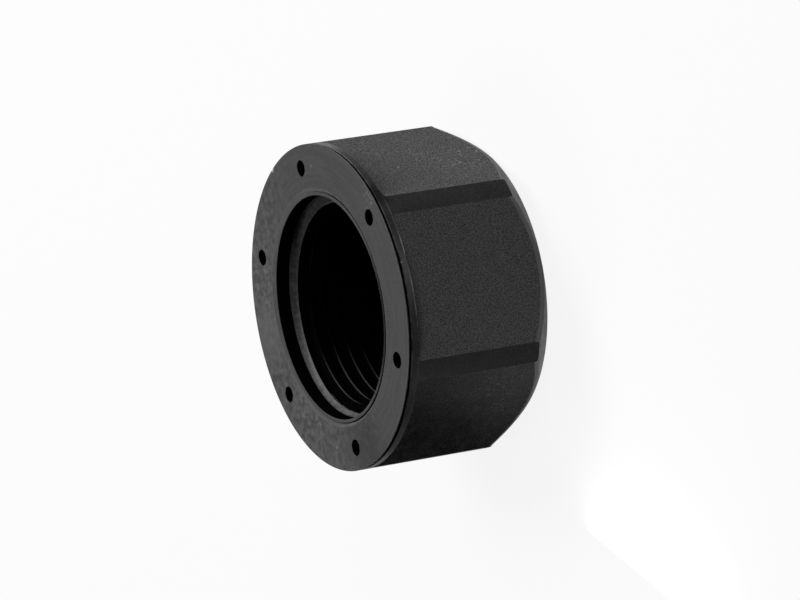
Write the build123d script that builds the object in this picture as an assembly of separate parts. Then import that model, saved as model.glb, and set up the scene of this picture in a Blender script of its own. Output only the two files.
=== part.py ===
# Threaded protection cap: a moulded cap with six spanner flats and a turned front ring.
# Millimetres, +Z up. The cap stands on its closed end, with the threaded mouth at the top.
# The origin is the centre of the closed end, on the axis of the thread.
import os
from math import asin, cos, pi, radians, tan

from build123d import *

# Overall form
height = 20.0                   # closed end to the front face of the ring
sides = 6
corner_width = 2.6              # of each round corner, which leaves 35.0 across the flats

# Closed end
end_face_margin = 0.5           # the end face stops this far inside the flats
flat_end_radius = 1.1           # where each flat runs out into the end cone
end_face_radius = 0.3           # between the cone and the end face
floor_thickness = 2.6           # closes the bore

# Collar, between the front ring and the flats
collar_depth = 1.35             # from the front face to the back of the collar
collar_foot_radius = 0.4        # from the back of the collar down onto each flat
collar_edge_radius = 0.12

# Front ring
ring_face_width = 5.35          # from the groove to the rim, for an outside diameter of 39.0
ring_thickness = 1.2
ring_rim_edge = 0.12            # thin edge of the ring at its rim
seam_width = 0.3                # open seam between that edge and the collar
seam_depth = 1.1                # the seam closes this far in from the rim
ring_clearance = 0.05           # radial, round the seated part of the ring
ring_bore_bevel = 0.35          # leaves an open groove round the lip
hole_count = 6
hole_diameter = 1.95
ring_turn = 1.7                 # degrees, from the round corners to the holes

# Mouth of the body, inside the front ring
mouth_depth = 2.1               # from the front face to the lead-in of the thread
mouth_corner_radius = 0.8       # between the wall of the mouth and the lead-in
lip_width = 0.4                 # thin lip that stands inside the ring
lip_gap = 0.05                  # between the lip and the ring
lip_drop = 0.1                  # the lip stops this far under the front face
lip_edge_radius = 0.08

# Bore for a 3/4 inch parallel pipe thread, as its smooth minor diameter
thread_minor_diameter = 24.117
lead_in_width = 1.2915          # out to the wall of the mouth, which is 26.7 wide
lead_in_angle = 30.0            # countersink, from the plane of the face
floor_corner_radius = 0.8

# Worked-out places, from the thread outwards and from the closed end upwards
minor_radius = thread_minor_diameter / 2
mouth_radius = minor_radius + lead_in_width
lip_radius = mouth_radius + lip_width
ring_bore_radius = lip_radius + lip_gap
ring_face_radius = ring_bore_radius + ring_bore_bevel
outside_radius = ring_face_radius + ring_face_width
seat_radius = outside_radius - seam_depth
hole_circle_radius = (ring_face_radius + outside_radius) / 2
half_corner_angle = asin(corner_width / 2 / outside_radius)
apothem = outside_radius * cos(pi / sides - half_corner_angle)
end_radius = apothem - end_face_margin
cone_height = outside_radius - end_radius
collar_back = height - collar_depth
collar_top = height - ring_rim_edge - seam_width
ring_seat = height - ring_thickness
lip_top = height - lip_drop
lead_in_top = height - mouth_depth
lead_in_height = lead_in_width * tan(radians(lead_in_angle))
beyond = outside_radius / 2     # how far the cutters reach past the part


def turned(points, start_angle=0.0):
    """A solid of revolution about the axis, from an outline of (radius, height)."""
    with BuildPart() as solid:
        with BuildSketch(Plane.XZ.rotated((0, 0, start_angle))):
            with BuildLine():
                Polyline(*points, close=True)
            make_face()
        revolve(axis=Axis.Z)
    return solid.part


def circles_at(solid, radius, z):
    """The round edges of a solid that lie on one circle about the axis."""
    found = []
    for edge in solid.edges().filter_by(GeomType.CIRCLE):
        middle = edge.position_at(0.5)
        radius_error = Vector(middle.X, middle.Y).length - radius
        if abs(radius_error) < 0.01 and abs(middle.Z - z) < 0.01:
            found.append(edge)
    return found


def flats_cutter():
    """Everything outside the hexagon, up to the back of the collar with its rounded foot."""
    with BuildPart() as cutter:
        with BuildSketch(Plane.XY.offset(-beyond)):
            Circle(outside_radius + beyond)
            RegularPolygon(apothem, sides, major_radius=False, mode=Mode.SUBTRACT)
        extrude(amount=collar_back + beyond)
        foot = cutter.edges().group_by(Axis.Z)[-1].filter_by(GeomType.LINE)
        fillet(foot, collar_foot_radius)
    return cutter.part


def body_outside():
    """Collar, spanner flats between round corners, and the cone round the closed end."""
    outline = [
        (0, 0),
        (end_radius, 0),
        (outside_radius, cone_height),
        (outside_radius, collar_top),
        (0, collar_top),
    ]
    middle_of_a_flat = 180 / sides
    body = turned(outline, middle_of_a_flat) - flats_cutter()
    body = fillet(body.edges().filter_by(GeomType.HYPERBOLA), flat_end_radius)
    body = fillet(circles_at(body, end_radius, 0), end_face_radius)
    collar_edges = circles_at(body, outside_radius, collar_top)
    collar_edges += circles_at(body, outside_radius, collar_back)
    return fillet(collar_edges, collar_edge_radius)


def ring_recess():
    """The step in the front of the body that the ring drops into."""
    return turned(
        [
            (mouth_radius, ring_seat),
            (seat_radius, ring_seat),
            (seat_radius, height),
            (mouth_radius, height),
        ]
    )


def lip():
    """The thin lip that stands up round the mouth, inside the ring."""
    tube = turned(
        [
            (mouth_radius, ring_seat),
            (lip_radius, ring_seat),
            (lip_radius, lip_top),
            (mouth_radius, lip_top),
        ]
    )
    rim = circles_at(tube, mouth_radius, lip_top) + circles_at(tube, lip_radius, lip_top)
    return fillet(rim, lip_edge_radius)


def bore_cutter():
    """Mouth, lead-in countersink and the blind bore, with rounded corners in the mouth and at the floor."""
    cutter = turned(
        [
            (0, floor_thickness),
            (minor_radius, floor_thickness),
            (minor_radius, lead_in_top - lead_in_height),
            (mouth_radius, lead_in_top),
            (mouth_radius, height),
            (0, height),
        ]
    )
    cutter = fillet(circles_at(cutter, mouth_radius, lead_in_top), mouth_corner_radius)
    return fillet(circles_at(cutter, minor_radius, floor_thickness), floor_corner_radius)


def cap_body():
    """The moulded body of the cap, in one piece."""
    return body_outside() - ring_recess() + lip() - bore_cutter()


def front_ring():
    """The turned ring that closes the front, with its six small holes."""
    outline = [
        (ring_bore_radius, ring_seat),
        (seat_radius - ring_clearance, ring_seat),
        (seat_radius - ring_clearance, collar_top),
        (outside_radius, height - ring_rim_edge),
        (outside_radius, height),
        (ring_face_radius, height),
        (ring_bore_radius, height - ring_bore_bevel),
    ]
    with BuildPart() as ring:
        add(turned(outline))
        with Locations((0, 0, height)):
            with PolarLocations(hole_circle_radius, hole_count, start_angle=ring_turn):
                Hole(hole_diameter / 2)
    return ring.part


pieces = {
    "cap_body": cap_body(),
    "front_ring": front_ring(),
}
os.makedirs("parts", exist_ok=True)
for name, piece in pieces.items():
    export_step(piece, f"parts/{name}.step")
    print(f"{name}: {piece.volume:.1f} mm3, {len(piece.solids())} solid")
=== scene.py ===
import math

import bpy
from mathutils import Matrix, Quaternion, Vector


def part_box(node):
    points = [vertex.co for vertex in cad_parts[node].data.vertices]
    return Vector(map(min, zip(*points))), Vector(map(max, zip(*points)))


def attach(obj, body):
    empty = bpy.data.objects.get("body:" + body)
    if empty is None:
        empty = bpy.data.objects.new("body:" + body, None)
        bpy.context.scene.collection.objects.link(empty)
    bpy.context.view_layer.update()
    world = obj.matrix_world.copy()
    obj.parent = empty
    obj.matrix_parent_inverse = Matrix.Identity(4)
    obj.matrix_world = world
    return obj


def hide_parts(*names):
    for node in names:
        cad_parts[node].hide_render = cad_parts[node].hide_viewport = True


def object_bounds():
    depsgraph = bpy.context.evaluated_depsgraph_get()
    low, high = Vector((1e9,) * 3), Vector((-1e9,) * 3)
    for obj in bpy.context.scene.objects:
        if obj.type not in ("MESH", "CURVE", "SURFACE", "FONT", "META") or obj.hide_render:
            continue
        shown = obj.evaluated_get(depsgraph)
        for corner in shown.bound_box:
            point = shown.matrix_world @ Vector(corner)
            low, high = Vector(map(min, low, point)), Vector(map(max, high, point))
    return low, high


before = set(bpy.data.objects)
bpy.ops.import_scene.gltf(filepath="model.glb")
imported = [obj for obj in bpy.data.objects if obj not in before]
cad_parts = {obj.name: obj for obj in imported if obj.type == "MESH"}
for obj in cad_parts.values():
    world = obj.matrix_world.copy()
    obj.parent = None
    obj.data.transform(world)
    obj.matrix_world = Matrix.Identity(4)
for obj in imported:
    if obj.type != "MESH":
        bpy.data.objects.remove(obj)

# The cap stands on its closed end, mouth up. Pieces are shaped in millimetres and end in metres.
millimetre = 0.001
frameLow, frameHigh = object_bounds()
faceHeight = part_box("front_ring")[1].z / millimetre      # front face of the ring
capRadius = frameHigh.x / millimetre
fullTurn = 2 * math.pi
placeSlack = 0.002            # how near a corner counts as being in a place
smoothAngle = math.radians(22)
arcStep = math.radians(15)    # longest step of a rounding in an outline
print("frame: cap of", round(2 * capRadius, 2), "by", round(faceHeight, 2), "mm")


# Small helpers for places and for edit mode

def ringRadius(place):
    return math.hypot(place.x, place.y)


def evenTurns(first, count):
    # the angles of even places about the axis, the first one given in degrees
    return [math.radians(first + 360 * k / count) for k in range(count)]


def pick(piece):
    # only this piece is selected and active
    bpy.ops.object.select_all(action="DESELECT")
    piece.select_set(True)
    bpy.context.view_layer.objects.active = piece


def clearPicks(piece, mode):
    pick(piece)
    bpy.ops.object.mode_set(mode="EDIT")
    bpy.ops.mesh.select_mode(type=mode)
    bpy.ops.mesh.select_all(action="DESELECT")
    bpy.ops.object.mode_set(mode="OBJECT")


def pickEdges(piece, test):
    # edges whose two ends both lie where test says, left selected in edit mode
    clearPicks(piece, "EDGE")
    corners = piece.data.vertices
    found = 0
    for edge in piece.data.edges:
        edge.select = all(test(corners[i].co) for i in edge.vertices)
        found += edge.select
    bpy.ops.object.mode_set(mode="EDIT")
    return found


def pickFaces(piece, test):
    # faces that test likes by their middle and normal, left selected in edit mode
    clearPicks(piece, "FACE")
    found = 0
    for face in piece.data.polygons:
        face.select = test(face.center, face.normal)
        found += face.select
    bpy.ops.object.mode_set(mode="EDIT")
    return found


def applyModifier(piece, kind, **settings):
    pick(piece)
    modifier = piece.modifiers.new("step", kind)
    for key, value in settings.items():
        setattr(modifier, key, value)
    bpy.ops.object.modifier_apply(modifier=modifier.name)


def cutAway(piece, cutter):
    applyModifier(piece, "BOOLEAN", operation="DIFFERENCE", object=cutter, solver="MANIFOLD")
    bpy.data.objects.remove(cutter)


def bevelPicked(offset, segments):
    # rounds the edges that are selected in edit mode, and leaves it
    bpy.ops.mesh.bevel(offset=offset, segments=segments, profile=0.5, affect="EDGES")
    bpy.ops.object.mode_set(mode="OBJECT")


def turnOutwards():
    # all faces of the piece in edit mode look out, and edit mode ends
    bpy.ops.mesh.select_all(action="SELECT")
    bpy.ops.mesh.normals_make_consistent(inside=False)
    bpy.ops.object.mode_set(mode="OBJECT")


def settle():
    # the selected piece's place, turn and scale go into its mesh
    bpy.ops.object.transform_apply(location=True, rotation=True, scale=True)


def roundedOutline(corners):
    # (radius, height, rounding) corners of a half section, with each rounding worked out as an arc
    points = []
    for i, (x, z, rounding) in enumerate(corners):
        if not rounding:
            points.append((x, z))
            continue
        corner = Vector((x, z))
        back = (Vector(corners[i - 1][:2]) - corner).normalized()
        ahead = (Vector(corners[i + 1][:2]) - corner).normalized()
        half = back.angle(ahead) / 2
        centre = corner + (back + ahead).normalized() * rounding / math.sin(half)
        start = corner + back * rounding / math.tan(half) - centre
        end = corner + ahead * rounding / math.tan(half) - centre
        turn = start.angle_signed(end)
        steps = max(2, math.ceil(abs(turn) / arcStep))
        for k in range(steps + 1):
            points.append(tuple(centre + Matrix.Rotation(-turn * k / steps, 2) @ start))
    return points


def drawOutline(name, points, closed):
    # a new piece that is only the edges between (radius, height) points, at angle 0
    count = len(points)
    links = [(i, (i + 1) % count) for i in range(count if closed else count - 1)]
    mesh = bpy.data.meshes.new(name)
    mesh.from_pydata([(x, 0, z) for x, z in points], links, [])
    piece = bpy.data.objects.new(name, mesh)
    bpy.context.scene.collection.objects.link(piece)
    return piece


def spinOutline(name, corners, columns):
    piece = drawOutline(name, roundedOutline(corners), closed=False)
    pick(piece)
    bpy.ops.object.mode_set(mode="EDIT")
    bpy.ops.mesh.select_all(action="SELECT")
    bpy.ops.mesh.spin(steps=columns, angle=fullTurn, center=(0, 0, 0), axis=(0, 0, 1))
    bpy.ops.mesh.select_all(action="SELECT")
    bpy.ops.mesh.remove_doubles(threshold=placeSlack)
    turnOutwards()
    return piece


def finishShape(piece):
    # smooth shading between the sharp edges, then millimetres to metres
    pick(piece)
    bpy.ops.object.shade_smooth_by_angle(angle=smoothAngle)
    applyModifier(piece, "WEIGHTED_NORMAL", keep_sharp=True, weight=100)
    piece.scale = (millimetre,) * 3
    settle()
    print(piece.name, "done:", len(piece.data.polygons), "faces")


# The moulded body

capBody = {
    "acrossFlats": 35.0,
    "flats": 6,
    "firstFlat": 30,             # degrees, from the first round corner
    "endMargin": 0.5,            # end face to the flats
    "endRounding": 0.3,
    "coneAngle": math.radians(45),
    "flatEndRounding": 1.1,      # where a flat runs out into the end cone
    "flatEndSteps": 6,
    "collarBack": 1.35,          # below the front face
    "footRounding": 0.4,
    "footSteps": 6,
    "collarRounding": 0.12,
    "collarSteps": 4,
    "collarTop": 0.42,           # below the front face
    "seatRadius": 18.4,
    "seatDepth": 1.2,
    "lipRadius": 13.75,
    "lipDrop": 0.1,              # below the front face
    "lipRounding": 0.08,
    "mouthRadius": 13.35,
    "mouthDepth": 2.1,
    "mouthCornerRounding": 0.8,
    "leadInAngle": math.radians(30),
    "floorThickness": 2.6,
    "floorRounding": 0.8,
    "columns": 360,
}

thread = {
    "pitch": 25.4 / 14,
    "minorRadius": 12.0585,
    "majorRadius": 13.2205,
    "flankAngle": math.radians(27.5),
    "rootRounding": 0.249,
    "crestRounding": 0.22,
    "crestLand": 0.10,
    "crestTurn": math.radians(62),   # how far a crest's rounding turns before its land
    "pastLand": 0.3,                 # share of the land that the cutter spreads over inside the bore
    "firstCrest": 2.591,             # below the front face, at angle 0
    "turns": 8,
    "columns": 180,
    "runOut": 0.6,                   # turns over which the groove fades at its inner end
    "runOutStart": 0.2,              # share of the section's depth at that end
    "reach": 0.5,                    # how far the cutter stands inside the bore
    "roundSteps": 4,
}

endRadius = capBody["acrossFlats"] / 2 - capBody["endMargin"]
flatTurns = evenTurns(capBody["firstFlat"], capBody["flats"])
flatWays = [Vector((math.cos(a), math.sin(a), 0)) for a in flatTurns]


def bodyOutline():
    b = capBody
    collarTop = faceHeight - b["collarTop"]
    seat = faceHeight - b["seatDepth"]
    lipTop = faceHeight - b["lipDrop"]
    leadInTop = faceHeight - b["mouthDepth"]
    leadInDrop = (b["mouthRadius"] - thread["minorRadius"]) * math.tan(b["leadInAngle"])
    return [
        (0, 0, 0),
        (endRadius, 0, b["endRounding"]),
        (capRadius, capRadius - endRadius, 0),
        (capRadius, collarTop, b["collarRounding"]),
        (b["seatRadius"], collarTop, 0),
        (b["seatRadius"], seat, 0),
        (b["lipRadius"], seat, 0),
        (b["lipRadius"], lipTop, b["lipRounding"]),
        (b["mouthRadius"], lipTop, b["lipRounding"]),
        (b["mouthRadius"], leadInTop, b["mouthCornerRounding"]),
        (thread["minorRadius"], leadInTop - leadInDrop, 0),
        (thread["minorRadius"], b["floorThickness"], b["floorRounding"]),
        (0, b["floorThickness"], 0),
    ]


def flatCutter(turn):
    # a block that takes one flat off, its rounded top edge leaving the foot of the collar
    flat = capBody["acrossFlats"] / 2
    top = faceHeight - capBody["collarBack"]
    bpy.ops.object.select_all(action="DESELECT")
    bpy.ops.mesh.primitive_cube_add(size=1, location=(flat + capRadius / 2, 0, 0))
    block = bpy.context.object
    block.scale = (capRadius, 2 * capRadius, 2 * top)
    settle()
    pickEdges(block, lambda p: abs(p.x - flat) < placeSlack and abs(p.z - top) < placeSlack)
    bevelPicked(capBody["footRounding"], capBody["footSteps"])
    block.data.transform(Matrix.Rotation(turn, 4, "Z"))
    return block


def threadOutline():
    # half the groove from its root to the middle of a crest, mirrored to the whole groove
    t = thread
    rootCentre = t["majorRadius"] - t["rootRounding"]
    steps = t["roundSteps"]
    half = []
    for k in range(steps + 1):
        turn = (math.pi / 2 - t["flankAngle"]) * k / steps
        half.append((rootCentre + t["rootRounding"] * math.cos(turn), t["rootRounding"] * math.sin(turn)))
    landEdge = (t["pitch"] - t["crestLand"]) / 2
    for k in range(steps + 1):
        turn = t["flankAngle"] + (t["crestTurn"] - t["flankAngle"]) * k / steps
        away = t["crestRounding"] * (math.sin(t["crestTurn"]) - math.sin(turn))
        along = t["crestRounding"] * (math.cos(turn) - math.cos(t["crestTurn"]))
        half.append((t["minorRadius"] + away, landEdge - along))
    past = t["pastLand"] * t["crestLand"]
    half.append((t["minorRadius"] - past, landEdge + past))
    half.append((t["minorRadius"] - t["reach"], landEdge + past))
    return half + [(x, -z) for x, z in reversed(half[1:])]


def fadeRunOut(cutter, count):
    # the first sections of the cutter, each of count corners, are pulled in towards the axis
    t = thread
    inner = t["minorRadius"] - t["reach"]
    fading = t["runOut"] * t["columns"]
    for i, corner in enumerate(cutter.data.vertices):
        share = (i // count) / fading
        if share < 1:
            radius = ringRadius(corner.co)
            keep = 1 - (1 - share) ** 2
            depth = t["runOutStart"] + (1 - t["runOutStart"]) * keep
            pulled = inner + (radius - inner) * depth
            corner.co.x *= pulled / radius
            corner.co.y *= pulled / radius


def threadCutter():
    # the groove's section carried up a right-handed helix, with its inner end fading out
    t = thread
    low = faceHeight - t["firstCrest"] - (t["turns"] - 0.5) * t["pitch"]
    points = [(x, z + low) for x, z in threadOutline()]
    cutter = drawOutline("threadCutter", points, closed=True)
    applyModifier(cutter, "SCREW", axis="Z", angle=fullTurn, screw_offset=t["pitch"],
                  iterations=t["turns"], steps=t["columns"], render_steps=t["columns"])
    fadeRunOut(cutter, len(points))
    clearPicks(cutter, "EDGE")
    bpy.ops.object.mode_set(mode="EDIT")
    bpy.ops.mesh.select_non_manifold(
        use_wire=False, use_multi_face=False, use_non_contiguous=False, use_verts=False)
    bpy.ops.mesh.fill()
    turnOutwards()
    return cutter


def makeCapBody():
    b = capBody
    flat = b["acrossFlats"] / 2
    collarBack = faceHeight - b["collarBack"]
    body = spinOutline("dressedCapBody", bodyOutline(), b["columns"])
    for turn in flatTurns:
        cutAway(body, flatCutter(turn))
    print("flats cut")

    def onFlatEnd(p):
        onCone = abs(ringRadius(p) - endRadius - p.z) < placeSlack
        return onCone and any(abs(p.dot(way) - flat) < placeSlack for way in flatWays)

    def onCollarBack(p):
        return abs(p.z - collarBack) < placeSlack and abs(ringRadius(p) - capRadius) < placeSlack

    print("flat ends:", pickEdges(body, onFlatEnd))
    bevelPicked(b["flatEndRounding"] * math.tan(b["coneAngle"] / 2), b["flatEndSteps"])
    print("collar back:", pickEdges(body, onCollarBack))
    bevelPicked(b["collarRounding"], b["collarSteps"])
    cutAway(body, threadCutter())
    print("thread cut")
    return body


# The ring in the front, with its six holes

frontRing = {
    "boreRadius": 13.8,
    "faceRadius": 14.15,         # where the bevel of the bore meets the face
    "seatRadius": 18.35,
    "seatDepth": 1.2,
    "collarTop": 0.42,
    "rimEdge": 0.12,
    "rimRounding": 0.04,
    "boreRounding": 0.04,
    "holes": 6,
    "firstHole": 1.7,            # degrees, from the first round corner
    "holeRadius": 0.975,
    "holeRounding": 0.05,
    "holeSteps": 3,
    "holeSides": 64,
    "columns": 360,
}

holeCircle = (frontRing["faceRadius"] + capRadius) / 2
holeTurns = evenTurns(frontRing["firstHole"], frontRing["holes"])
holeMiddles = [Vector((holeCircle * math.cos(a), holeCircle * math.sin(a), faceHeight)) for a in holeTurns]


def ringOutline():
    # all round the section of the ring and back to its first corner
    r = frontRing
    corners = [
        (r["boreRadius"], faceHeight - r["seatDepth"], 0),
        (r["seatRadius"], faceHeight - r["seatDepth"], 0),
        (r["seatRadius"], faceHeight - r["collarTop"], 0),
        (capRadius, faceHeight - r["rimEdge"], 0),
        (capRadius, faceHeight, r["rimRounding"]),
        (r["faceRadius"], faceHeight, r["boreRounding"]),
        (r["boreRadius"], faceHeight - (r["faceRadius"] - r["boreRadius"]), 0),
    ]
    return corners + corners[:1]


def holeCutter(turn):
    # a round bar about the front face, four times as long as the ring is thick
    r = frontRing
    bpy.ops.object.select_all(action="DESELECT")
    bpy.ops.mesh.primitive_cylinder_add(
        vertices=r["holeSides"], radius=r["holeRadius"], depth=4 * r["seatDepth"],
        location=(holeCircle, 0, faceHeight))
    drill = bpy.context.object
    settle()
    drill.data.transform(Matrix.Rotation(turn, 4, "Z"))
    return drill


def makeFrontRing():
    r = frontRing
    ring = spinOutline("dressedFrontRing", ringOutline(), r["columns"])
    for turn in holeTurns:
        cutAway(ring, holeCutter(turn))

    def onHoleEdge(p):
        return any(abs((p - m).length - r["holeRadius"]) < placeSlack for m in holeMiddles)

    print("hole edges:", pickEdges(ring, onHoleEdge))
    bevelPicked(r["holeRounding"], r["holeSteps"])
    return ring


body = makeCapBody()
ring = makeFrontRing()
for piece in (body, ring):
    finishShape(piece)
    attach(piece, "root")
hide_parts("cap_body")
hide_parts("front_ring")


# Node helpers

def addNode(tree, kind, feeds, **settings):
    # a new node with its settings, each input linked or set by its name or number
    node = tree.nodes.new(kind)
    for key, value in settings.items():
        setattr(node, key, value)
    for name, feed in feeds.items():
        if isinstance(name, int):
            socket = node.inputs[name]
        else:
            socket = [s for s in node.inputs if s.name == name and s.enabled][0]
        if isinstance(feed, bpy.types.NodeSocket):
            tree.links.new(feed, socket)
        else:
            socket.default_value = feed
    return node


def addMath(tree, operation, first, second=0.0):
    return addNode(tree, "ShaderNodeMath", {0: first, 1: second}, operation=operation).outputs[0]


def addVectorMath(tree, operation, output, *feeds):
    node = addNode(tree, "ShaderNodeVectorMath", dict(enumerate(feeds)), operation=operation)
    return node.outputs[output]


def addRamp(tree, value, low, high, start=0.0, end=1.0):
    # a smooth rise from start, where value is low, to end, where it is high
    feeds = {"Value": value, "From Min": low, "From Max": high, "To Min": start, "To Max": end}
    return addNode(tree, "ShaderNodeMapRange", feeds, interpolation_type="SMOOTHSTEP").outputs["Result"]


def mixValues(tree, factor, first, second):
    return addNode(tree, "ShaderNodeMix", {"Factor": factor, "A": first, "B": second}).outputs[0]


def mixColours(tree, factor, first, second):
    # a mix node's third output is the colour
    feeds = {"Factor": factor}
    for name, colour in (("A", first), ("B", second)):
        feeds[name] = colour if isinstance(colour, bpy.types.NodeSocket) else (*colour, 1)
    return addNode(tree, "ShaderNodeMix", feeds, data_type="RGBA").outputs[2]


def addGroup(tree, group, feeds, output):
    return addNode(tree, "ShaderNodeGroup", feeds, node_tree=group).outputs[output]


def startGroup(name, inputs, outputs):
    group = bpy.data.node_groups.new(name, "ShaderNodeTree")
    for label in inputs:
        kind = "NodeSocketVector" if label in ("Place", "Centre") else "NodeSocketFloat"
        group.interface.new_socket(label, in_out="INPUT", socket_type=kind)
    for label in outputs:
        group.interface.new_socket(label, in_out="OUTPUT", socket_type="NodeSocketFloat")
    given = group.nodes.new("NodeGroupInput").outputs
    result = group.nodes.new("NodeGroupOutput").inputs
    return group, given, result


# Shared effects, each a node group that reads a place and lengths in metres

# detail and roughness of each noise, and between which of its values an effect rises from none to full
noises = {
    "grain": {"detail": 3, "roughness": 0.6, "range": (0.33, 0.67)},
    "patches": {"detail": 4, "roughness": 0.65, "range": (0.34, 0.66)},
    "flecks": {"detail": 3, "roughness": 0.7, "range": (0.66, 0.78)},
    "clouds": {"detail": 2, "roughness": 0.5, "range": (0.36, 0.6)},
    "marks": {"detail": 2, "roughness": 0.5, "range": (0.35, 0.65)},
    "wearAndSheen": {"detail": 3, "roughness": 0.6, "range": (0.35, 0.6)},
    "rim": {"detail": 3, "roughness": 0.6},
}

effects = {
    "fleckLift": 0.2,            # added to the flecks' noise where their share is 1
    "markCircle": 2,             # radius of one round of the axis, in cells of the marks' noise
    "sheenCore": 0.3,              # share of a paler edge's width over which it is fully paler
    "sheenCells": 400,             # cells of noise in a metre
    "rimCells": 900,
    "rimShare": 0.5,             # how far the noise moves a spot's rim, in shares of its reach
    "spotFade": (0.45, 1.25),    # where a spot begins to fade and where it ends, in shares of its reach
}


def addNoise(tree, kind, place, scale):
    look = noises[kind]
    feeds = {"Vector": place, "Scale": scale, "Detail": look["detail"], "Roughness": look["roughness"]}
    return addNode(tree, "ShaderNodeTexNoise", feeds).outputs["Fac"]


def addSizedNoise(tree, kind, place, size):
    return addNoise(tree, kind, place, addMath(tree, "DIVIDE", 1, size))


def rampNoise(tree, kind, value):
    return addRamp(tree, value, *noises[kind]["range"])


def makeGrainGroup():
    # fine eroded grain of the mould, and soft patches of uneven gloss
    group, given, result = startGroup(
        "mouldGrain", ["Place", "Grain Size", "Patch Size"], ["Grain", "Patches"])
    grain = addSizedNoise(group, "grain", given["Place"], given["Grain Size"])
    patches = addSizedNoise(group, "patches", given["Place"], given["Patch Size"])
    group.links.new(grain, result["Grain"])
    group.links.new(rampNoise(group, "patches", patches), result["Patches"])
    return group


def makeDustGroup():
    # pale flecks of uneven size that lie in loose clouds; a larger share leaves more of them
    group, given, result = startGroup(
        "dustFlecks", ["Place", "Fleck Size", "Share", "Cloud Size"], ["Flecks"])
    flecks = addSizedNoise(group, "flecks", given["Place"], given["Fleck Size"])
    clouds = addSizedNoise(group, "clouds", given["Place"], given["Cloud Size"])
    lift = addMath(group, "MULTIPLY", given["Share"], effects["fleckLift"])
    flecks = rampNoise(group, "flecks", addMath(group, "ADD", flecks, lift))
    group.links.new(addMath(group, "MULTIPLY", flecks, rampNoise(group, "clouds", clouds)), result["Flecks"])
    return group


def makeMarksGroup():
    # faint marks that run round the axis, from turning and from wiping
    group, given, result = startGroup("roundMarks", ["Place", "Line Spacing"], ["Marks"])
    flat = addVectorMath(group, "MULTIPLY", "Vector", given["Place"], (1, 1, 0))
    radius = addVectorMath(group, "LENGTH", "Value", flat)
    around = addVectorMath(group, "NORMALIZE", "Vector", flat)
    line = addMath(group, "DIVIDE", radius, given["Line Spacing"])
    up = addNode(group, "ShaderNodeCombineXYZ", {"Z": line}).outputs[0]
    circle = (effects["markCircle"], effects["markCircle"], 0)
    spread = addVectorMath(group, "MULTIPLY_ADD", "Vector", around, circle, up)
    group.links.new(rampNoise(group, "marks", addNoise(group, "marks", spread, 1)), result["Marks"])
    return group


def makeWearAndSheenGroup():
    # an edge that runs round the axis, paler here and there: part edge wear, part painted highlight
    group, given, result = startGroup("edgeWearAndSheen", ["Place", "Edge Radius", "Edge Height", "Width"], ["Wear And Sheen"])
    flat = addVectorMath(group, "MULTIPLY", "Vector", given["Place"], (1, 1, 0))
    radius = addVectorMath(group, "LENGTH", "Value", flat)
    height = addNode(group, "ShaderNodeSeparateXYZ", {0: given["Place"]}).outputs["Z"]
    across = addMath(group, "SUBTRACT", radius, given["Edge Radius"])
    along = addMath(group, "SUBTRACT", height, given["Edge Height"])
    squares = [addMath(group, "MULTIPLY", side, side) for side in (across, along)]
    away = addMath(group, "SQRT", addMath(group, "ADD", *squares))
    near = addRamp(group, addMath(group, "DIVIDE", away, given["Width"]), effects["sheenCore"], 1, 1, 0)
    uneven = rampNoise(group, "wearAndSheen", addNoise(group, "wearAndSheen", given["Place"], effects["sheenCells"]))
    group.links.new(addMath(group, "MULTIPLY", near, uneven), result["Wear And Sheen"])
    return group


def makeSpotGroup():
    # one soft spot, full at its centre, its rim broken up a little
    group, given, result = startGroup("softSpot", ["Place", "Centre", "Reach"], ["Spot"])
    away = addVectorMath(group, "DISTANCE", "Value", given["Place"], given["Centre"])
    share = addMath(group, "DIVIDE", away, given["Reach"])
    rim = addNoise(group, "rim", given["Place"], effects["rimCells"])
    share = addMath(group, "ADD", share, addMath(group, "MULTIPLY", rim, effects["rimShare"]))
    group.links.new(addRamp(group, share, *effects["spotFade"], 1, 0), result["Spot"])
    return group


grainGroup = makeGrainGroup()
dustGroup = makeDustGroup()
marksGroup = makeMarksGroup()
wearAndSheenGroup = makeWearAndSheenGroup()
spotGroup = makeSpotGroup()
print("node groups made")


# Finishes, with colours as linear values and lengths in millimetres

def grey(level, blue=0.0):
    return (level, level, level + blue)


# colour and lighter are the ends of the tone, and grainShare is the fine grain's part in it.
# dustPlaces hold a middle and a reach, spots a middle, a reach, a grey level and a strength.
# Paler edges, of wear and painted highlight, hold a radius, a height and, where part of the edge carries a
# bright painted highlight, a middle, a reach and a grey level.
grainedFlat = {
    "colour": grey(0.062, 0.001),
    "lighter": grey(0.2, 0.001),
    "roughness": 0.7,
    "specular": 0.05,
    "grainSize": 0.19,
    "grainHeight": 0.1,
    "grainShare": 0.9,
    "patchSize": 1.6,
    "dustColour": grey(0.34),
    "dustSize": 0.4,
    "dustShare": 0.6,
    "dustCloud": 3.0,
    "dustPlaces": [
        ((15.4, -8.6, 4.5), 9.0),
        ((-15.0, -9.0, 7.0), 9.0),
        ((15.0, 9.0, 10.0), 7.0),
        ((-14.5, 9.5, 5.0), 8.0),
        ((1.0, 17.5, 12.0), 9.0),
    ],
    "spots": [
        ((14.5, -9.88, 12.68), 0.22, 0.45, 1.0),         # pale speck
        ((-18.6, -2.8, 14.5), 13.0, 0.02, 0.85),         # painted contact shadow, where the cap lies on a table
    ],
}

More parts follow.
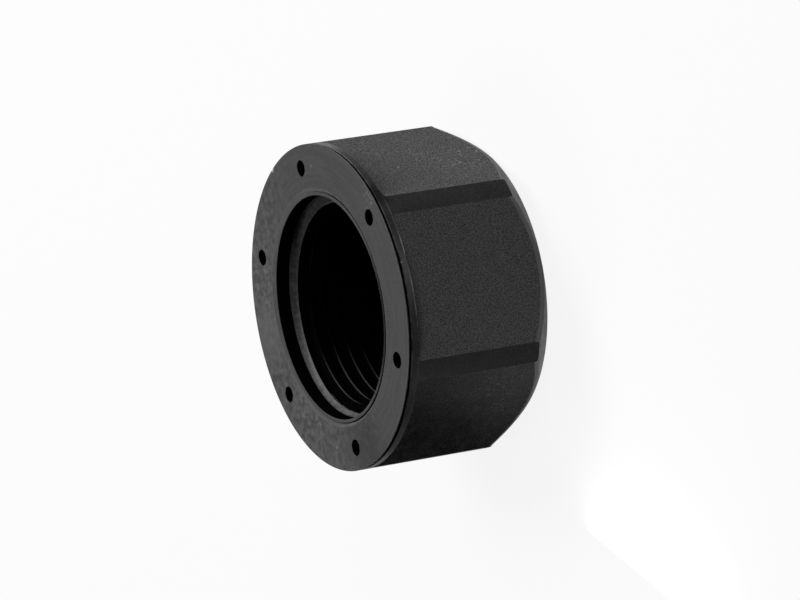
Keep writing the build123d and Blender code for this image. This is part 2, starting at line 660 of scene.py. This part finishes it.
smoothSkin = {
    "colour": grey(0.021, 0.0005),
    "lighter": grey(0.047, 0.0005),
    "roughness": 0.4,
    "specular": 0.11,
    "grainSize": 0.3,
    "grainHeight": 0.015,
    "grainShare": 0.65,
    "patchSize": 2.5,
    # paler edges, part edge wear and part painted highlight; the collar's back edge also carries a bright
    # painted highlight
    "rubbedColour": grey(0.13),
    "rubbedWidth": 0.16,
    "rubbedEdges": [
        (19.45, 18.68, ((2.04, -19.39, 18.7), 8.0, 0.75)),
        (19.45, 19.56, None),
    ],
    "spots": [
        ((11.3, -15.9, 19.2), 2.6, 0.004, 0.9),          # painted dark reflection on the collar
        ((18.6, -5.7, 19.1), 4.5, 0.16, 0.8),            # painted highlight on the collar
        ((2.88, -19.29, 19.45), 0.2, 0.25, 1.0),         # burr at the seam
    ],
}

# the end cone and run-outs painted paler than the rest of the plastic: painted rim light
endSkin = {
    "colour": grey(0.16, 0.001),
    "lighter": grey(0.23, 0.001),
    "roughness": 0.45,
    "specular": 0.22,
    "grainSize": 0.24,
    "grainHeight": 0.006,
    "grainShare": 0.5,
    "patchSize": 1.5,
}

# the same plastic made near black: painted shade in the bore, the holes and the seam
boreSkin = {
    "colour": grey(0.0012),
    "lighter": grey(0.0022),
    "roughness": 0.6,
    "specular": 0.0,
    "grainSize": 0.15,
    "grainHeight": 0.004,
    "grainShare": 0.3,
    "patchSize": 2.5,
}

# the bore's painted shade, with painted highlights on the crests where light reaches them
crestSkin = {
    "colour": grey(0.0012),
    "lighter": grey(0.0025),
    "roughness": 0.4,
    "specular": 0.02,
    "grainSize": 0.15,
    "grainHeight": 0.004,
    "grainShare": 0.3,
    "patchSize": 0.8,
    # painted highlights on the crests
    "spots": [
        ((-9.2, 7.8, 14.5), 7.0, 0.06, 1.0),
        ((7.5, 9.4, 16.5), 4.0, 0.03, 0.8),
    ],
}

leadInSkin = {
    "colour": grey(0.055, 0.001),
    "lighter": grey(0.135, 0.001),
    "roughness": 0.5,
    "specular": 0.15,
    "grainSize": 0.2,
    "grainHeight": 0.008,
    "grainShare": 0.35,
    "patchSize": 0.8,
}

lipSkin = {
    "colour": grey(0.066, 0.001),
    "lighter": grey(0.084, 0.001),
    "roughness": 0.55,
    "specular": 0.1,
    "grainSize": 0.16,
    "grainHeight": 0.004,
    "grainShare": 0.3,
    "patchSize": 1.0,
    # painted shade on the lip's -y side
    "spots": [((-3.5, -13.1, 19.9), 12.0, 0.012, 0.9)],
}

# the bore's bevel painted paler than the face: painted light
bevelSkin = {
    "colour": grey(0.09),
    "lighter": grey(0.13),
    "roughness": 0.5,
    "specular": 0.15,
    "grainSize": 0.16,
    "grainHeight": 0.004,
    "grainShare": 0.3,
    "patchSize": 0.8,
    "spots": [
        # painted highlight on the +x side
        ((13.5, 3.6, 19.9), 17.0, 0.27, 1.0),
        # painted shade towards -x, +y
        ((-10.7, 9.0, 19.9), 13.0, 0.075, 0.8),
    ],
}

ringSkin = {
    "colour": grey(0.056, 0.001),
    "lighter": grey(0.112, 0.001),
    "roughness": 0.55,
    "specular": 0.1,
    "grainSize": 0.3,
    "grainHeight": 0.006,
    "grainShare": 0.2,
    "patchSize": 0.9,
    "markSpacing": 0.5,
    "markTones": (0.18, 0.36),
    "mottledWay": (-0.25, 0.97, 0),      # the side of the face that is mottled, not wiped smooth
    "mottledRange": (-0.2, 0.6),         # where that begins and ends, in cap radii
    "dustColour": grey(0.15),
    "dustSize": 0.55,
    "dustShare": 0.7,
    "dustCloud": 2.0,
    "dustPlaces": [
        ((3.0, 16.9, 20.0), 10.0),
        ((-12.0, 10.0, 20.0), 9.0),
        ((10.6, -15.1, 20.0), 3.0),
        ((-15.5, -4.0, 20.0), 5.0),
    ],
    # paler edges of the rim and the bore, part edge wear and part painted highlight
    "rubbedColour": grey(0.12),
    "rubbedWidth": 0.12,
    "rubbedEdges": [(19.5, 20.0, None), (14.15, 20.0, None)],
    "spots": [
        ((17.85, 7.96, 20.0), 0.5, 0.6, 1.0),            # nick in the rim
        ((10.39, -15.52, 20.0), 0.3, 0.2, 0.8),          # small pale marks
        ((16.7, -2.26, 20.0), 0.3, 0.16, 0.8),
        ((-16.3, 4.4, 20.0), 0.3, 0.2, 0.8),
        ((-16.5, -3.5, 20.0), 6.0, 0.045, 0.7),          # painted shade on one stretch of the face, and on the next line a painted highlight on another
        ((-0.9, 16.8, 20.0), 6.0, 0.12, 0.6),
    ],
}

roughnessRange = (-0.05, 0.07)       # from the patches, about a finish's own roughness


def addSpot(tree, place, centre, reach):
    feeds = {"Place": place, "Centre": Vector(centre) * millimetre, "Reach": reach * millimetre}
    return addGroup(tree, spotGroup, feeds, "Spot")


def addTone(tree, place, finish, grain, patches):
    # how pale each place is: patches, or round marks on the wiped side, with fine grain over both
    tone = patches
    if "markSpacing" in finish:
        feeds = {"Place": place, "Line Spacing": finish["markSpacing"] * millimetre}
        marks = addRamp(tree, addGroup(tree, marksGroup, feeds, "Marks"), 0, 1, *finish["markTones"])
        way = Vector(finish["mottledWay"]) / (capRadius * millimetre)
        side = addVectorMath(tree, "DOT_PRODUCT", "Value", place, way)
        tone = mixValues(tree, addRamp(tree, side, *finish["mottledRange"]), marks, patches)
    return mixValues(tree, finish["grainShare"], tone, rampNoise(tree, "grain", grain))


def addDust(tree, place, finish, colour):
    flecks = addGroup(tree, dustGroup, {
        "Place": place,
        "Fleck Size": finish["dustSize"] * millimetre,
        "Share": finish["dustShare"],
        "Cloud Size": finish["dustCloud"] * millimetre,
    }, "Flecks")
    dusty = 0.0
    for centre, reach in finish["dustPlaces"]:
        dusty = addMath(tree, "MAXIMUM", dusty, addSpot(tree, place, centre, reach))
    return mixColours(tree, addMath(tree, "MULTIPLY", flecks, dusty), colour, finish["dustColour"])


def addWornAndSheenEdges(tree, place, finish, colour):
    for radius, height, shine in finish["rubbedEdges"]:
        wearAndSheen = addGroup(tree, wearAndSheenGroup, {
            "Place": place,
            "Edge Radius": radius * millimetre,
            "Edge Height": height * millimetre,
            "Width": finish["rubbedWidth"] * millimetre,
        }, "Wear And Sheen")
        colour = mixColours(tree, wearAndSheen, colour, finish["rubbedColour"])
        # a bright painted highlight along part of the edge
        if shine:
            centre, reach, level = shine
            gleam = addMath(tree, "MULTIPLY", wearAndSheen, addSpot(tree, place, centre, reach))
            colour = mixColours(tree, gleam, colour, grey(level))
    return colour


def addSpots(tree, place, finish, colour):
    for centre, reach, level, strength in finish["spots"]:
        spot = addMath(tree, "MULTIPLY", addSpot(tree, place, centre, reach), strength)
        colour = mixColours(tree, spot, colour, grey(level))
    return colour


def makeFinish(name, finish):
    # grain and patches on every finish, then dust, paler edges of wear and painted highlight, and spots where
    # the finish has them
    material = bpy.data.materials.new(name)
    material.use_nodes = True
    tree = material.node_tree
    shader = tree.nodes["Principled BSDF"].inputs
    shader["Specular IOR Level"].default_value = finish["specular"]
    place = tree.nodes.new("ShaderNodeTexCoord").outputs["Object"]
    patches = addGroup(tree, grainGroup, {
        "Place": place,
        "Grain Size": finish["grainSize"] * millimetre,
        "Patch Size": finish["patchSize"] * millimetre,
    }, "Patches")
    grain = patches.node.outputs["Grain"]
    tone = addTone(tree, place, finish, grain, patches)
    colour = mixColours(tree, tone, finish["colour"], finish["lighter"])
    for key, addEffect in (("dustPlaces", addDust), ("rubbedEdges", addWornAndSheenEdges), ("spots", addSpots)):
        if key in finish:
            colour = addEffect(tree, place, finish, colour)
    tree.links.new(colour, shader["Base Color"])
    smoothest, roughest = (finish["roughness"] + change for change in roughnessRange)
    tree.links.new(addRamp(tree, patches, 0, 1, smoothest, roughest), shader["Roughness"])
    bump = addNode(tree, "ShaderNodeBump", {"Height": grain, "Distance": finish["grainHeight"] * millimetre})
    tree.links.new(bump.outputs["Normal"], shader["Normal"])
    return material


# Which faces take which finish

dressing = {
    "flatFacing": 0.99999,       # least cosine between a flat's face and the way the flat looks
    "footBelow": 1.0,            # how far under the back of the collar a foot's face may lie
    "footFacing": 0.05,          # the same least cosine for a foot
    "footSideways": 0.01,        # and the most that it may look to one side
    "boreSlack": 0.05,
    "boreFloorShare": 0.9,       # of the floor's thickness
    "boreBelow": 0.3,            # under the front face
    "crestSlack": 0.03,
    "crestBelow": 0.5,           # under the top of the lead-in
    "crestSteepest": 0.9,        # how far up or down a crest may look, as holeFacing is for a hole's wall
    "endRise": 1.0,              # above the place where the cone ends on the round corners
    "endFacing": (-0.99, -0.02),         # least and most of the normal's upward part
    "leadInReach": (-0.8, 0.4),  # about the top of the lead-in
    "leadInFacing": (0.3, 0.95),
    "lipSlack": 0.02,
    "lipBelow": 0.25,            # under the front face
    "holeFacing": 0.2,
    "holeSlack": 0.01,
    "bevelBelow": 0.4,           # under the front face
    "bevelFacing": 0.3,          # the bevel looks up by more than this
}


def startDressing(piece, material):
    piece.data.materials.clear()
    piece.data.materials.append(material)


def dressPlace(piece, material, test):
    # the faces that test likes, by their middle in millimetres and their normal, take this material
    piece.data.materials.append(material)
    found = pickFaces(piece, lambda middle, normal: test(middle / millimetre, normal))
    piece.active_material_index = len(piece.data.materials) - 1
    bpy.ops.object.material_slot_assign()
    bpy.ops.object.mode_set(mode="OBJECT")
    print(material.name, "on", found, "faces")


def dressBody(piece, dark):
    b = capBody
    d = dressing
    flat = b["acrossFlats"] / 2
    foot = flat + b["footRounding"] + placeSlack
    collarBack = faceHeight - b["collarBack"]
    leadInTop = faceHeight - b["mouthDepth"]
    coneTop = capRadius - endRadius

    def onFlat(middle, normal):
        # the flat itself and the rounded foot that runs up from it to the collar
        for way in flatWays:
            away = middle.dot(way)
            if normal.dot(way) > d["flatFacing"] and abs(away - flat) < placeSlack:
                return True
            byFoot = flat < away < foot and middle.z > collarBack - d["footBelow"]
            sideways = abs(normal.dot(Vector((-way.y, way.x, 0))))
            if byFoot and normal.dot(way) > d["footFacing"] and sideways < d["footSideways"]:
                return True
        return False

    def inBore(middle, normal):
        inside = ringRadius(middle) < b["mouthRadius"] + d["boreSlack"]
        return inside and d["boreFloorShare"] * b["floorThickness"] < middle.z < faceHeight - d["boreBelow"]

    def onCrest(middle, normal):
        near = abs(ringRadius(middle) - thread["minorRadius"]) < d["crestSlack"]
        below = middle.z < leadInTop - d["crestBelow"]
        return inBore(middle, normal) and near and below and abs(normal.z) < d["crestSteepest"]

    def onLeadIn(middle, normal):
        lowest, highest = d["leadInReach"]
        low, high = d["leadInFacing"]
        onCone = thread["minorRadius"] + d["boreSlack"] < ringRadius(middle)
        onCone = onCone and leadInTop + lowest < middle.z < leadInTop + highest
        return inBore(middle, normal) and onCone and low < normal.z < high

    def onLip(middle, normal):
        return ringRadius(middle) < b["lipRadius"] + d["lipSlack"] and middle.z > faceHeight - d["lipBelow"]

    def onEnd(middle, normal):
        # the end cone and the rounded run-out of each flat into it
        low, high = d["endFacing"]
        return middle.z < coneTop + d["endRise"] and low < normal.z < high

    def inSeam(middle, normal):
        inside = b["lipRadius"] + d["lipSlack"] < ringRadius(middle) < capRadius - b["collarRounding"]
        low = faceHeight - b["seatDepth"] - placeSlack
        return inside and low < middle.z < faceHeight - b["collarTop"] + placeSlack

    startDressing(piece, makeFinish("smoothBlack", smoothSkin))
    dressPlace(piece, makeFinish("grainedBlack", grainedFlat), onFlat)
    dressPlace(piece, dark, inBore)
    dressPlace(piece, makeFinish("crestPaintedHighlight", crestSkin), onCrest)
    dressPlace(piece, makeFinish("leadInGrey", leadInSkin), onLeadIn)
    dressPlace(piece, makeFinish("lipBlack", lipSkin), onLip)
    dressPlace(piece, makeFinish("endPaintedRimLight", endSkin), onEnd)
    dressPlace(piece, dark, inSeam)


def dressRing(piece, dark):
    r = frontRing
    d = dressing
    middles = [m.xy for m in holeMiddles]

    def inHole(middle, normal):
        reach = r["holeRadius"] + d["holeSlack"]
        return abs(normal.z) < d["holeFacing"] and any((middle.xy - m).length < reach for m in middles)

    def onBevel(middle, normal):
        onBore = ringRadius(middle) < r["faceRadius"] and middle.z > faceHeight - d["bevelBelow"]
        return onBore and normal.z > d["bevelFacing"]

    def inSeam(middle, normal):
        return middle.z < faceHeight - r["rimEdge"] - placeSlack and ringRadius(middle) > r["faceRadius"]

    startDressing(piece, makeFinish("ringBlack", ringSkin))
    dressPlace(piece, makeFinish("bevelPaintedLight", bevelSkin), onBevel)
    dressPlace(piece, dark, lambda middle, normal: inHole(middle, normal) or inSeam(middle, normal))


# painted shade for the bore, the holes and the seam
paintedShadeBlack = makeFinish("paintedShadeBlack", boreSkin)
dressBody(body, paintedShadeBlack)
dressRing(ring, paintedShadeBlack)
print("materials done")


# Floor, light and camera, with lengths in metres and angles in degrees

studio = {
    "floorSize": 6.0,
    "floorColour": 0.8,
    "floorBounce": 0.03,     # the floor's colour as the cap's sides meet it
    "floorGloss": 0.8,       # how bright the floor is in reflections
    "shadowShare": 0.12,     # how much of the floor's own shading the camera sees
    "worldStrength": 0.01,
    "boxDistance": 0.9,
}

# azimuth, elevation, width and power
softBoxes = {
    "frontBox": (30, 60, 0.3, 4.46),
    "topBox": (15, 40, 0.3, 2.37),
    "sideBox": (-45, 25, 0.4, 2.61),
    "fillBox": (115, 55, 0.25, 1.33),
}

tableCard = {
    "azimuth": 240,          # of the table, from the corner that the photo's cap lies on
    "away": 0.035,           # along the table, from that corner
    "facing": 150,
    "tilt": 28,              # down towards the closed end
    "width": 0.030,
    "height": 0.009,
    "power": 0.0026,
}

collarShine = {
    "spot": (0.0020, -0.0194, 0.0193),     # where the gleam shows on the collar
    "azimuth": -76,
    "elevation": -27.7,
    "distance": 0.030,
    "width": 0.024,
    "height": 0.006,
    "power": 0.0036,
}

photoCamera = {
    "lens": 234.12,          # millimetres, on the 36 mm sensor
    "azimuth": -92.877,
    "elevation": 27.734,
    "roll": -99.056,
    "distance": 0.618,
    "aim": (-0.00041, 0.00018, 0.0103),
}


def towards(azimuth, elevation):
    # the unit vector that points this way
    turn, rise = math.radians(azimuth), math.radians(elevation)
    return Vector((math.cos(rise) * math.cos(turn), math.cos(rise) * math.sin(turn), math.sin(rise)))


def makeFloor():
    # pale to the camera and in reflections, dark to the light that it would throw up at the cap
    bpy.ops.object.select_all(action="DESELECT")
    bpy.ops.mesh.primitive_plane_add(size=studio["floorSize"], location=(0, 0, 0))
    floor = bpy.context.object
    floor.name = "floor"
    material = bpy.data.materials.new("paleFloor")
    material.use_nodes = True
    tree = material.node_tree
    tree.nodes.clear()
    rays = tree.nodes.new("ShaderNodeLightPath").outputs
    colour = mixColours(tree, rays["Is Camera Ray"], grey(studio["floorBounce"]), grey(studio["floorColour"]))
    matte = addNode(tree, "ShaderNodeBsdfDiffuse", {"Color": colour}).outputs[0]
    white = tree.nodes.new("ShaderNodeEmission").outputs[0]
    gloss = addMath(tree, "MULTIPLY", rays["Is Glossy Ray"], studio["floorGloss"])
    seen = addMath(tree, "MAXIMUM", rays["Is Camera Ray"], gloss)
    seen = addMath(tree, "MAXIMUM", seen, rays["Is Transmission Ray"])
    share = addMath(tree, "MULTIPLY", seen, 1 - studio["shadowShare"])
    surface = addNode(tree, "ShaderNodeMixShader", {0: share, 1: matte, 2: white}).outputs[0]
    addNode(tree, "ShaderNodeOutputMaterial", {"Surface": surface})
    floor.data.materials.append(material)


def makeWorld():
    world = bpy.data.worlds.new("softRoom")
    world.use_nodes = True
    background = world.node_tree.nodes["Background"].inputs
    background["Color"].default_value = (1, 1, 1, 1)
    background["Strength"].default_value = studio["worldStrength"]
    bpy.context.scene.world = world


def makeLamp(name, place, facing, width, height, power):
    # an oblong lamp at a place, its light going against the direction facing
    data = bpy.data.lights.new(name, "AREA")
    data.shape = "RECTANGLE"
    data.size = width
    data.size_y = height
    data.energy = power
    lamp = bpy.data.objects.new(name, data)
    lamp.visible_camera = False
    bpy.context.scene.collection.objects.link(lamp)
    lamp.location = place
    lamp.rotation_mode = "QUATERNION"
    lamp.rotation_quaternion = facing.to_track_quat("Z", "Y")
    return lamp


def makeSoftBox(name, azimuth, elevation, width, power):
    # a square box at the studio's distance that faces the middle of the cap
    way = towards(azimuth, elevation)
    place = way * studio["boxDistance"] + Vector((0, 0, faceHeight * millimetre / 2))
    makeLamp(name, place, way, width, width, power)


def makeTableCard():
    # the light that a pale table under the photo's cap throws up at its lower flat
    c = tableCard
    corner = Vector((-capRadius * millimetre, 0, c["height"] / 2))
    place = corner + towards(c["azimuth"], 0) * c["away"]
    makeLamp("tableCard", place, towards(c["facing"], c["tilt"]), c["width"], c["height"], c["power"])


def makeCollarShine():
    # a small lamp seen only as a gleam, low on the camera's side of the collar
    c = collarShine
    way = towards(c["azimuth"], c["elevation"])
    place = Vector(c["spot"]) + way * c["distance"]
    lamp = makeLamp("collarShine", place, way, c["width"], c["height"], c["power"])
    lamp.visible_diffuse = False


def makeCamera():
    c = photoCamera
    back = towards(c["azimuth"], c["elevation"])
    data = bpy.data.cameras.new("photoCamera")
    data.lens = c["lens"]
    camera = bpy.data.objects.new("photoCamera", data)
    bpy.context.scene.collection.objects.link(camera)
    camera.location = Vector(c["aim"]) + back * c["distance"]
    camera.rotation_mode = "QUATERNION"
    camera.rotation_quaternion = back.to_track_quat("Z", "Y") @ Quaternion((0, 0, 1), math.radians(c["roll"]))
    bpy.context.scene.camera = camera


makeFloor()
makeWorld()
for name, box in softBoxes.items():
    makeSoftBox(name, *box)
makeTableCard()
makeCollarShine()
makeCamera()
bpy.context.scene.view_settings.view_transform = "Standard"
print("floor, light and camera done")
